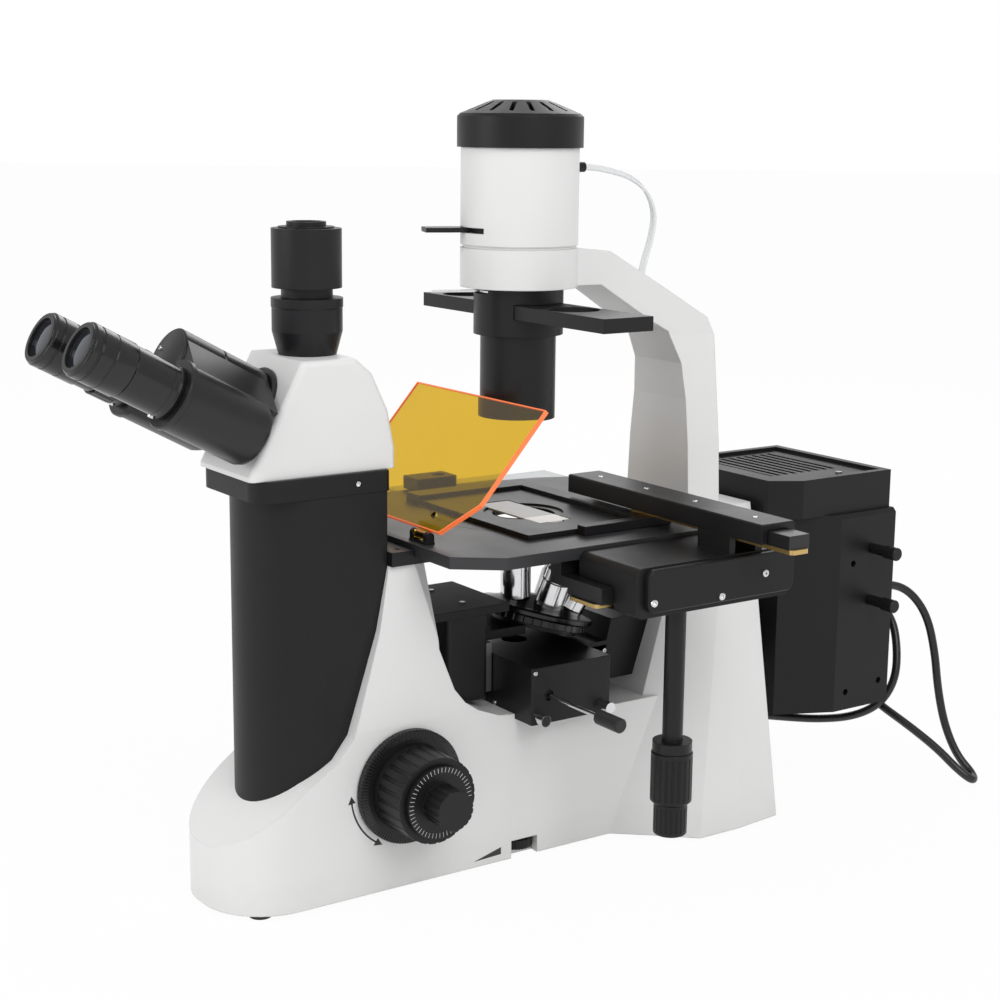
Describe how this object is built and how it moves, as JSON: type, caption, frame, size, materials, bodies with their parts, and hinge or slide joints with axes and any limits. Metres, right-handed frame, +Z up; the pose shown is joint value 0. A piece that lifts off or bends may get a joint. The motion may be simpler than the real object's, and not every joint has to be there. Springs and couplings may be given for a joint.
{
  "type": "inverted microscope",
  "caption": "Inverted microscope with binocular head, transmitted light arm, mechanical stage, turret of objectives and a rear fluorescence lamp house.",
  "frame": {"origin": "on the bench under the optical axis of the condenser and the objective in use", "axes": "+Z up, +X to the user's right, -Y towards the user"},
  "size_m": [0.366, 0.7071, 0.522],
  "materials": {
    "white_paint": "satin white powder paint",
    "black_paint": "satin black paint",
    "black_anodised": "black anodised",
    "black_plastic": "fine-grained black",
    "gloss_black": "gloss black",
    "chrome": "polished",
    "steel": "brushed",
    "glass": "clear",
    "orange_acrylic": "clear orange",
    "grey_metal": "satin",
    "rubber": "matt",
    "cable_black": "smooth PVC",
    "cable_white": "smooth PVC"
  },
  "bodies": {
    "base": {"base_frame": "white_paint", "base_plate": "steel", "c_mount_adapter": "black_anodised", "cable_glands": "black_plastic", "case_screws": "chrome", "column_cover": "black_paint", "condenser_body": "black_anodised", "condenser_tube": "black_anodised", "filter_block": "black_anodised", "focus_housing": "black_paint", "head_body": "white_paint", "head_plate": "black_paint", "hinge_hub": "black_anodised", "lamp_arm": "white_paint", "lamp_cap": "black_plastic", "lamp_house_cable": "cable_black", "lamp_housing": "white_paint", "lamp_lead": "cable_white", "lamp_optics": "glass", "photo_tube": "black_anodised", "rear_lamp_house": "black_paint", "rubber_feet": "rubber", "shield_clamp": "black_anodised", "stage_bracket": "black_anodised", "stage_clamp": "black_anodised", "stage_extension": "grey_metal", "stage_insert": "black_anodised", "stage_plate": "black_anodised", "y_rail": "black_anodised"},
    "left_head": {"left_prism_housing": "black_paint", "left_eyepiece": "gloss_black"},
    "right_head": {"right_prism_housing": "black_paint", "right_eyepiece": "gloss_black"},
    "dioptre": {"dioptre_ring": "black_plastic"},
    "field": {"field_lever": "black_plastic"},
    "aperture": {"aperture_lever": "steel"},
    "phase": {"phase_slider": "black_plastic"},
    "y_carriage": {"x_bar": "black_anodised", "drive_box": "black_paint", "drive_cover": "black_paint", "stage_shaft": "black_anodised"},
    "x_slide": {"x_rail": "black_anodised", "holder_frame": "black_anodised", "slide_insert": "black_anodised", "glass_slide": "glass"},
    "y_control": {"y_knob": "black_plastic"},
    "x_control": {"x_knob": "black_plastic"},
    "tension": {"tension_ring": "black_plastic"},
    "coarse_control": {"coarse_knobs": "black_plastic"},
    "fine_control": {"fine_knobs": "black_plastic"},
    "brightness": {"brightness_wheel": "black_plastic"},
    "coarse_slide": {"focus_carriage": "steel"},
    "fine_slide": {"nosepiece_arm": "black_anodised"},
    "revolver": {"turret": "black_anodised", "objectives": "chrome"},
    "cube_slider": {"filter_slider": "steel"},
    "shield": {"light_shield": "orange_acrylic"},
    "upper_centering": {"upper_centering_knob": "black_plastic"},
    "lower_centering": {"lower_centering_knob": "black_plastic"}
  },
  "joints": [
    {"name": "right_head_swing", "type": "hinge", "parent": "base", "child": "right_head", "pos_m": [0, -0.2036, 0.3314], "axis": [0, -0.8788, 0.4772], "range_deg": [-22, 12]},
    {"name": "left_head_swing", "type": "hinge", "parent": "base", "child": "left_head", "pos_m": [0, -0.2036, 0.3314], "axis": [0, -0.8788, 0.4772], "range_deg": [-12, 22]},
    {"name": "dioptre_turn", "type": "hinge", "parent": "left_head", "child": "dioptre", "pos_m": [-0.03, -0.21385, 0.31252], "axis": [0, -0.8788, 0.4772], "range_deg": [-90, 90]},
    {"name": "field_lever_swing", "type": "hinge", "parent": "base", "child": "field", "pos_m": [0, 0, 0.4338], "axis": [0, 0, 1], "range_deg": [-22, 22]},
    {"name": "aperture_lever_swing", "type": "hinge", "parent": "base", "child": "aperture", "pos_m": [0, 0, 0.393], "axis": [0, 0, 1], "range_deg": [-25, 25]},
    {"name": "phase_slider_slide", "type": "slide", "parent": "base", "child": "phase", "axis": [1, 0, 0], "range_m": [-0.064, 0.064]},
    {"name": "stage_y", "type": "slide", "parent": "base", "child": "y_carriage", "axis": [0, 1, 0], "range_m": [-0.03, 0.038]},
    {"name": "stage_x", "type": "slide", "parent": "y_carriage", "child": "x_slide", "axis": [1, 0, 0], "range_m": [-0.02, 0.05]},
    {"name": "y_knob_turn", "type": "hinge", "parent": "y_carriage", "child": "y_control", "pos_m": [0.15, 0.0233, 0.08], "axis": [0, 0, 1], "range_deg": [-400, 400]},
    {"name": "x_knob_turn", "type": "hinge", "parent": "y_carriage", "child": "x_control", "pos_m": [0.15, 0.0233, 0.055], "axis": [0, 0, 1], "range_deg": [-520, 520]},
    {"name": "tension_turn", "type": "hinge", "parent": "base", "child": "tension", "pos_m": [0.054, -0.121, 0.075], "axis": [1, 0, 0], "range_deg": [-60, 60]},
    {"name": "coarse_turn", "type": "hinge", "parent": "base", "child": "coarse_control", "pos_m": [0, -0.121, 0.075], "axis": [1, 0, 0], "range_deg": [-20, 75]},
    {"name": "coarse_focus", "type": "slide", "parent": "base", "child": "coarse_slide", "axis": [0, 0, 1], "range_m": [-0.0015, 0.007]},
    {"name": "fine_turn", "type": "hinge", "parent": "coarse_control", "child": "fine_control", "pos_m": [0, -0.121, 0.075], "axis": [1, 0, 0], "range_deg": [-1850, 1850]},
    {"name": "fine_focus", "type": "slide", "parent": "coarse_slide", "child": "fine_slide", "axis": [0, 0, 1], "range_m": [-0.00101, 0.00101]},
    {"name": "turret_turn", "type": "hinge", "parent": "fine_slide", "child": "revolver", "pos_m": [0, 0.0207, 0.17], "axis": [0, 0.2756, 0.9613], "continuous": true},
    {"name": "filter_slide", "type": "slide", "parent": "base", "child": "cube_slider", "axis": [1, 0, 0], "range_m": [-0.035, 0]},
    {"name": "brightness_turn", "type": "hinge", "parent": "base", "child": "brightness", "pos_m": [0.039, -0.025, 0.01], "axis": [0, 0, 1], "range_deg": [-135, 135]},
    {"name": "shield_tilt", "type": "hinge", "parent": "base", "child": "shield", "pos_m": [0.041, -0.10391, 0.24135], "axis": [1, 0, 0], "range_deg": [0, 38]},
    {"name": "upper_centering_turn", "type": "hinge", "parent": "base", "child": "upper_centering", "pos_m": [0.07, 0.283, 0.191], "axis": [1, 0, 0], "range_deg": [-720, 720]},
    {"name": "lower_centering_turn", "type": "hinge", "parent": "base", "child": "lower_centering", "pos_m": [0.07, 0.283, 0.1505], "axis": [1, 0, 0], "range_deg": [-720, 720]}
  ],
  "couplings": [
    {"joint": "left_head_swing", "follows": "right_head_swing", "ratio": -1},
    {"joint": "y_knob_turn", "follows": "stage_y", "rad_per_m": -166.67},
    {"joint": "x_knob_turn", "follows": "stage_x", "rad_per_m": -166.67},
    {"joint": "coarse_turn", "follows": "coarse_focus", "rad_per_m": 166.67},
    {"joint": "fine_turn", "follows": "fine_focus", "rad_per_m": 31446}
  ]
}
